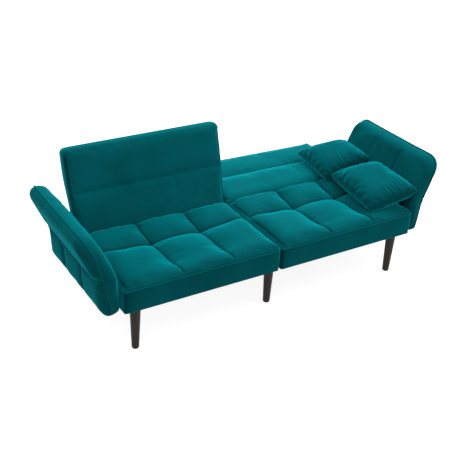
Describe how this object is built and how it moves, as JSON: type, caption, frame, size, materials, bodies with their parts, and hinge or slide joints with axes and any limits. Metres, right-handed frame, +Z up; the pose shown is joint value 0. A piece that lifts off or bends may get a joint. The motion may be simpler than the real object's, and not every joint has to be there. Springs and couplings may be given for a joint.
{
  "type": "futon sofa bed",
  "caption": "Split-back futon sofa bed with tufted seat modules, independently folding backs, tilting padded arms, tapered wooden legs and loose pillows.",
  "frame": {"origin": "on the floor, under the middle of the bounding box", "axes": "+X along the seats towards the side whose back is let down, +Y from front to rear, +Z up"},
  "size_m": [1.9254, 0.959, 0.7378],
  "materials": {
    "velvet": "matte",
    "foam": "matte",
    "filling": "matte",
    "dust_cloth": "matte",
    "webbing": "matte",
    "dark_wood": "satin",
    "timber": "matte",
    "plywood": "matte",
    "black_steel": "satin",
    "zinc_steel": "satin",
    "black_plastic": "matte"
  },
  "bodies": {
    "seat": {"seat_left_cover": "velvet", "seat_left_foam": "foam", "seat_left_long_rails": "timber", "seat_left_end_rails": "timber", "seat_left_corner_blocks": "timber", "seat_left_springs": "zinc_steel", "seat_right_cover": "velvet", "seat_right_foam": "foam", "seat_right_long_rails": "timber", "seat_right_end_rails": "timber", "seat_right_corner_blocks": "timber", "seat_right_springs": "zinc_steel", "spring_clips": "zinc_steel", "dust_cloths": "dust_cloth", "front_legs": "dark_wood", "rear_legs": "dark_wood", "leg_plates": "black_steel", "joining_plates": "black_steel", "plate_screws": "zinc_steel", "hanger_bolts": "zinc_steel", "glides": "black_plastic", "back_left_hinge_fixed_plates": "black_steel", "back_right_hinge_fixed_plates": "black_steel", "arm_left_hinge_fixed_brackets": "black_steel", "arm_right_hinge_fixed_brackets": "black_steel", "seat_hinge_screws": "zinc_steel"},
    "back_left": {"back_left_cover": "velvet", "back_left_foam": "foam", "back_left_frame": "black_steel", "back_left_webbing": "webbing", "back_left_hinge_moving_plates": "black_steel", "back_left_hinge_pins": "zinc_steel", "back_left_hinge_bolts": "zinc_steel"},
    "back_right": {"back_right_cover": "velvet", "back_right_foam": "foam", "back_right_frame": "black_steel", "back_right_webbing": "webbing", "back_right_hinge_moving_plates": "black_steel", "back_right_hinge_pins": "zinc_steel", "back_right_hinge_bolts": "zinc_steel"},
    "arm_left": {"arm_left_cover": "velvet", "arm_left_foam": "foam", "arm_left_board": "plywood", "arm_left_hinge_moving_brackets": "black_steel", "arm_left_hinge_pins": "zinc_steel", "arm_left_hinge_screws": "zinc_steel"},
    "arm_right": {"arm_right_cover": "velvet", "arm_right_foam": "foam", "arm_right_board": "plywood", "arm_right_hinge_moving_brackets": "black_steel", "arm_right_hinge_pins": "zinc_steel", "arm_right_hinge_screws": "zinc_steel"},
    "pillow_front": {"pillow_front_cover": "velvet", "pillow_front_filling": "filling", "pillow_front_zip": "black_plastic"},
    "pillow_rear": {"pillow_rear_cover": "velvet", "pillow_rear_filling": "filling", "pillow_rear_zip": "black_plastic"}
  },
  "joints": [
    {"name": "back_left_recline", "type": "hinge", "parent": "seat", "child": "back_left", "pos_m": [-0.4025, 0.0645, 0.33], "axis": [1, 0, 0], "range_deg": [-75.5, 6]},
    {"name": "back_right_recline", "type": "hinge", "parent": "seat", "child": "back_right", "pos_m": [0.4025, 0.0645, 0.33], "axis": [1, 0, 0], "range_deg": [0, 81.5], "deforming": ["pillow_rear_cover", "pillow_rear_zip"]},
    {"name": "arm_left_tilt", "type": "hinge", "parent": "seat", "child": "arm_left", "pos_m": [-0.821, -0.1945, 0.238], "axis": [0, -1, 0], "range_deg": [0, 60]},
    {"name": "arm_right_tilt", "type": "hinge", "parent": "seat", "child": "arm_right", "pos_m": [0.821, -0.1945, 0.238], "axis": [0, 1, 0], "range_deg": [0, 60]},
    {"name": "pillow_front_lift", "type": "slide", "parent": "seat", "child": "pillow_front", "axis": [0, 0, 1], "range_m": [0, 0.35]},
    {"name": "pillow_rear_lift", "type": "slide", "parent": "back_right", "child": "pillow_rear", "axis": [0, 0, 1], "range_m": [0, 0.15]}
  ]
}
